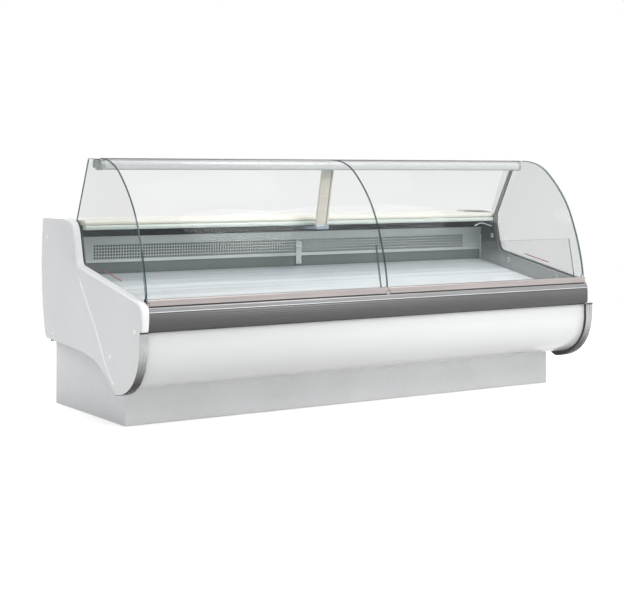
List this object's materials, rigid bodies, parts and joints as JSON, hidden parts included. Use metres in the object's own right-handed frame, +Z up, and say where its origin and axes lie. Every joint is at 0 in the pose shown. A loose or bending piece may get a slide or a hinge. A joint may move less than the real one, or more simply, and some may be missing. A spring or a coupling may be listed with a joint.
{
  "type": "refrigerated deli case",
  "caption": "Refrigerated serve-over deli case with tilting curved front glass, sloped display deck, rear worktop and a cooling unit in its plinth.",
  "frame": {"origin": "centre of the case's footprint, on the floor", "axes": "+X along the length to the customer's right, +Y from the customer's side to the server's side, +Z up"},
  "size_m": [2.58, 1.1003, 1.1795],
  "materials": {
    "white_moulded": "satin moulded",
    "white_gloss": "gloss white coating",
    "canopy_white": "gloss white coating",
    "canopy_cap": "satin grey-green moulding",
    "bumper_grey": "satin grey with fine length-wise lines",
    "aluminium_profile": "satin anodised",
    "rose_profile": "brushed, rose-beige anodised",
    "clear_glass": "clear float glass with green edges",
    "side_liner": "dark grey moulded",
    "tub_lining": "coated steel skin over foam",
    "back_wall_steel": "satin green-grey coated steel",
    "deck_steel": "pale blue-white satin coated steel",
    "return_grille": "perforated steel",
    "worktop_cream": "cream laminate",
    "worktop_nosing": "pale green-grey moulding",
    "post_cream": "cream powder coat",
    "post_grey": "grey powder coat",
    "lamp_diffuser": "opal diffuser",
    "plinth_paint": "matt grey powder coat",
    "rear_steel": "light grey coated sheet",
    "frame_paint": "black painted tube",
    "foot_rubber": "black rubber pad",
    "coil_aluminium": "thin aluminium fins",
    "zinc_sheet": "zinc coated sheet",
    "fan_black": "black moulding",
    "fan_aluminium": "stamped blades",
    "compressor_black": "black enamel",
    "control_black": "black moulding",
    "button_white": "white keys"
  },
  "bodies": {
    "cabinet": {"side_panel_left": "white_moulded", "side_panel_right": "white_moulded", "front_panel": "white_gloss", "canopy_profile": "canopy_white", "canopy_end_cap_left": "canopy_cap", "canopy_end_cap_right": "canopy_cap", "bumper_rail": "bumper_grey", "front_top_profile": "aluminium_profile", "deflector_profile": "aluminium_profile", "end_glass_left": "clear_glass", "end_glass_right": "clear_glass", "deflector_glass_left": "clear_glass", "deflector_glass_right": "clear_glass", "side_liner_left": "side_liner", "side_liner_right": "side_liner", "insulated_tub": "tub_lining", "back_upper_panel": "back_wall_steel", "perforated_panel_left": "back_wall_steel", "perforated_panel_right": "back_wall_steel", "back_lower_panel": "back_wall_steel", "deck_tray_1": "deck_steel", "deck_tray_2": "deck_steel", "deck_tray_3": "deck_steel", "deck_tray_4": "deck_steel", "return_air_grille": "return_grille", "worktop": "worktop_cream", "worktop_nosing": "worktop_nosing", "post_middle": "post_cream", "post_right": "post_grey", "lamp_tube": "lamp_diffuser", "plinth_front": "plinth_paint", "plinth_left": "plinth_paint", "plinth_right": "plinth_paint", "plinth_rear_grille": "plinth_paint", "rear_panel": "rear_steel", "base_frame": "frame_paint", "levelling_foot_1": "foot_rubber", "levelling_foot_2": "foot_rubber", "levelling_foot_3": "foot_rubber", "levelling_foot_4": "foot_rubber", "evaporator_coil": "coil_aluminium", "condenser_coil": "coil_aluminium", "evaporator_fan_plate": "zinc_sheet", "unit_tray": "zinc_sheet", "condenser_fan_shroud": "fan_black", "compressor": "compressor_black", "control_housing": "control_black", "supply_gland": "control_black"},
    "front_glass_left_pane": {"front_glass_left": "clear_glass", "glass_hinge_profile_left": "rose_profile"},
    "front_glass_right_pane": {"front_glass_right": "clear_glass", "glass_hinge_profile_right": "rose_profile"},
    "evaporator_fan_wheel_1": {"evaporator_fan_1": "fan_black"},
    "evaporator_fan_wheel_2": {"evaporator_fan_2": "fan_black"},
    "condenser_fan_wheel": {"condenser_fan": "fan_aluminium"},
    "button_1": {"control_button_1": "button_white"},
    "button_2": {"control_button_2": "button_white"},
    "button_3": {"control_button_3": "button_white"},
    "rocker": {"light_switch": "button_white"}
  },
  "joints": [
    {"name": "front_glass_left_tilt", "type": "hinge", "parent": "cabinet", "child": "front_glass_left_pane", "pos_m": [-0.625, -0.526, 0.553], "axis": [1, 0, 0], "range_deg": [0, 60]},
    {"name": "front_glass_right_tilt", "type": "hinge", "parent": "cabinet", "child": "front_glass_right_pane", "pos_m": [0.625, -0.526, 0.553], "axis": [1, 0, 0], "range_deg": [0, 60]},
    {"name": "evaporator_fan_1_spin", "type": "hinge", "parent": "cabinet", "child": "evaporator_fan_wheel_1", "pos_m": [-0.56, -0.06, 0.42], "axis": [0, 1, 0], "continuous": true},
    {"name": "evaporator_fan_2_spin", "type": "hinge", "parent": "cabinet", "child": "evaporator_fan_wheel_2", "pos_m": [0.56, -0.06, 0.42], "axis": [0, 1, 0], "continuous": true},
    {"name": "condenser_fan_spin", "type": "hinge", "parent": "cabinet", "child": "condenser_fan_wheel", "pos_m": [0.52, 0.105, 0.1443], "axis": [1, 0, 0], "continuous": true},
    {"name": "button_1_press", "type": "slide", "parent": "cabinet", "child": "button_1", "axis": [0, -1, 0], "range_m": [0, 0.0015], "stiffness_N_per_m": 300},
    {"name": "button_2_press", "type": "slide", "parent": "cabinet", "child": "button_2", "axis": [0, -1, 0], "range_m": [0, 0.0015], "stiffness_N_per_m": 300},
    {"name": "button_3_press", "type": "slide", "parent": "cabinet", "child": "button_3", "axis": [0, -1, 0], "range_m": [0, 0.0015], "stiffness_N_per_m": 300},
    {"name": "light_switch_rock", "type": "hinge", "parent": "cabinet", "child": "rocker", "pos_m": [-0.785, 0.537, 0.78], "axis": [1, 0, 0], "range_deg": [0, 16]}
  ]
}
